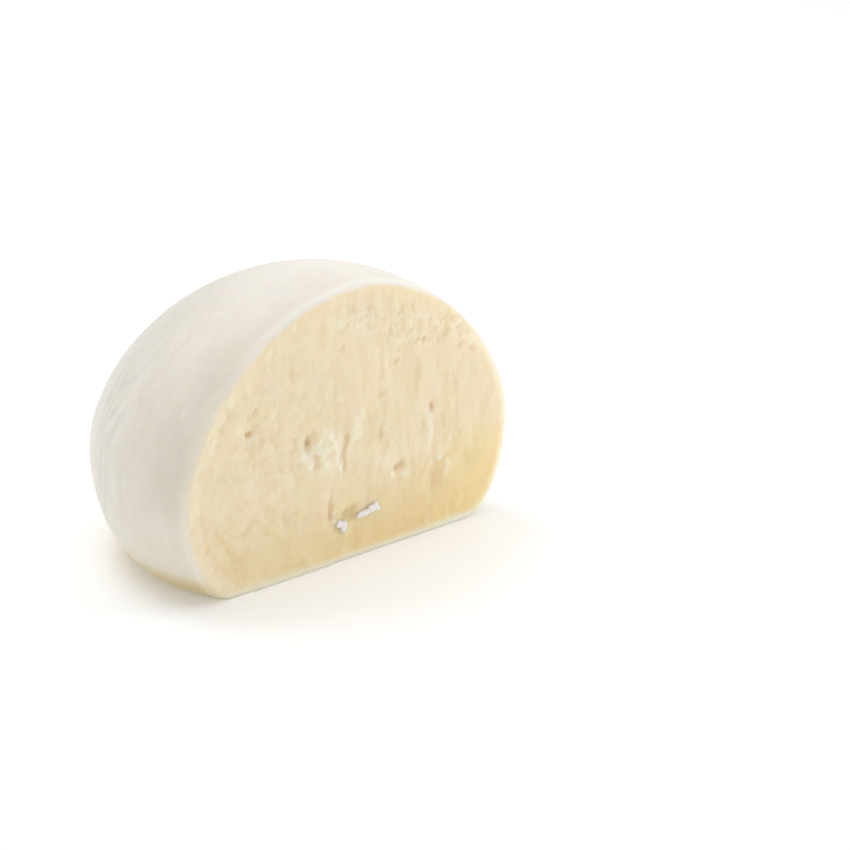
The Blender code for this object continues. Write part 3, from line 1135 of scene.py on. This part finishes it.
def curd_colour(sheet, across, height, inside):
    """Cream curd: upright strands on the right and mottling on the left, warmer towards the foot in
    painted shade, with painted highlight and shade on its relief and a painted glow at its right edge
    and foot.
    """
    torn = sheet.attribute("torn")
    hollow = sheet.attribute("hollow")
    to_right = sheet.step(across, -20, 4)
    strands = sheet.noise("strands")
    mottle = sheet.noise("mottle")
    patches = sheet.noise("patches")
    speck = sheet.noise("speck")
    deep = sheet.step(strands, 0.38, 0.66) * to_right * 0.55
    deep = deep + sheet.step(mottle, 0.38, 0.64) * (0.45 - 0.30 * to_right)
    deep = deep + sheet.step(patches, 0.60, 0.40) * 0.25 + sheet.step(speck, 0.45, 0.75) * 0.15
    curd = sheet.mix(sheet.clamp(deep), CURD_PALE, CURD_DEEP)
    curd = sheet.mix(sheet.step(patches, 0.42, 0.62) * 0.5, curd, CURD_BLUSH)
    # Painted shade, warmer towards the foot and more so on the right.
    low = sheet.step(height, *CURD_LOW_SHADE_UP) * (0.55 + 0.45 * to_right)
    curd = sheet.mix(low, curd, CURD_LOW_SHADE)
    # Painted warm shade and bounce light low on the right.
    warm_shade = sheet.step(height, *WARM_SHADE_UP) * sheet.step(across, *WARM_SHADE_ACROSS)
    curd = sheet.mix(warm_shade * 0.6, curd, CURD_WARM_SHADE)
    layer = 1 - sheet.step(inside, LAYER_WIDTH - 1.0, LAYER_WIDTH + 0.8)
    curd = sheet.mix(layer * sheet.step(across, *LAYER_ACROSS) * 0.7, curd, CURD_LAYER)
    # Painted shade in the hollows, then the torn curds' paler colour, partly painted highlight.
    curd = sheet.mix(sheet.clamp(hollow), curd, CURD_HOLLOW_SHADE)
    curd = sheet.mix(sheet.clamp(torn), curd, CURD_TORN_AND_HIGHLIGHT)
    # Painted light: a paler foot that lifts the shade at the table, and a painted glow along the thin
    # right edge.
    curd = sheet.mix(sheet.step(height, *GLOW_UP) * 0.7, curd, CURD_GLOW)
    thin = sheet.step(inside, *GLOW_INSIDE) * sheet.step(across, *GLOW_ACROSS)
    thin = thin * sheet.step(height, *GLOW_BELOW)
    return sheet.mix(thin * 0.45, curd, CURD_GLOW)


def cheese_finish():
    """Satin skin outside and cream curd on the cut, one cheese right through."""
    sheet = Sheet("fresh_cheese")
    facing = sheet.attribute("facing")
    inside = sheet.attribute("inside")
    drawn = sheet.attribute("drawn")
    place = sheet.places((1, 1, 1))
    across = sheet.node("ShaderNodeSeparateXYZ", {}, {0: place}, output=0)
    back = sheet.node("ShaderNodeSeparateXYZ", {}, {0: place}, output=1)
    height = sheet.node("ShaderNodeSeparateXYZ", {}, {0: place}, output=2)
    strokes = sheet.noise("strokes")
    skin = skin_colour(sheet, strokes, back, height)
    curd = curd_colour(sheet, across, height, inside)

    # The skin seen end on is a thin white line round the cut, thinner on the right and at the foot.
    edge = SKIN_EDGE - 0.3 * sheet.step(across, 8, 30) - 0.3 * sheet.step(height, 5, 1)
    # Near the cut the skin turns white: the end-on skin's own white, and a painted highlight on its
    # rolled lip, strongest along the top.
    bright = sheet.step(inside, -2.0, 0.2) * (0.35 + 0.65 * sheet.step(height, 38, 50))
    rim_white = sheet.mix(bright, skin, SKIN_RIM_WHITE_AND_HIGHLIGHT)
    colour = sheet.mix(sheet.step(inside - edge, -0.5, 0.5), rim_white, curd)

    grain = sheet.bump(sheet.noise("fine") * facing, 0.05 * MM, 0.6)
    pulled = sheet.bump(strokes * drawn, 0.12 * MM, 0.8, under=grain)
    normal = sheet.bump(sheet.noise("soft"), 0.06 * MM, 0.4, under=pulled)
    sheet.surface(
        Base_Color=colour,
        Roughness=0.34 + 0.12 * sheet.noise("patchy") + 0.06 * facing,
        Subsurface_Weight=1.0,
        Subsurface_Radius=(1.0, 0.82, 0.55),
        Subsurface_Scale=3.0 * MM,
        IOR=1.4,
        Normal=normal,
    )
    return sheet.material


def crumb_finish():
    """Bright wet curd, a little creamier in places."""
    sheet = Sheet("wet_curd")
    shade = sheet.noise("crumb_shade")
    sheet.surface(
        Base_Color=sheet.mix(sheet.step(shade, 0.4, 0.7), CRUMB_WHITE, CURD_TORN_AND_HIGHLIGHT),
        Roughness=0.32 + 0.1 * shade,
        Subsurface_Weight=1.0,
        Subsurface_Radius=(1.0, 0.95, 0.85),
        Subsurface_Scale=1.5 * MM,
        IOR=1.4,
        Normal=sheet.bump(sheet.noise("crumb_fine"), 0.05 * MM, 0.5),
    )
    return sheet.material


# ---------------------------------------------------------------- the scene

add_camera()
add_studio()
cheese, cut_plane = shape_cheese()
cheese.data.materials.append(cheese_finish())
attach(cheese, BODY)
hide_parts(NODE)

wet_curd = crumb_finish()
for number, crumb_group in enumerate(CRUMB_GROUPS, start=1):
    crumb = shape_crumb(cut_plane, crumb_group, "curd_crumb_" + str(number))
    crumb.data.materials.append(wet_curd)
    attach(crumb, BODY)
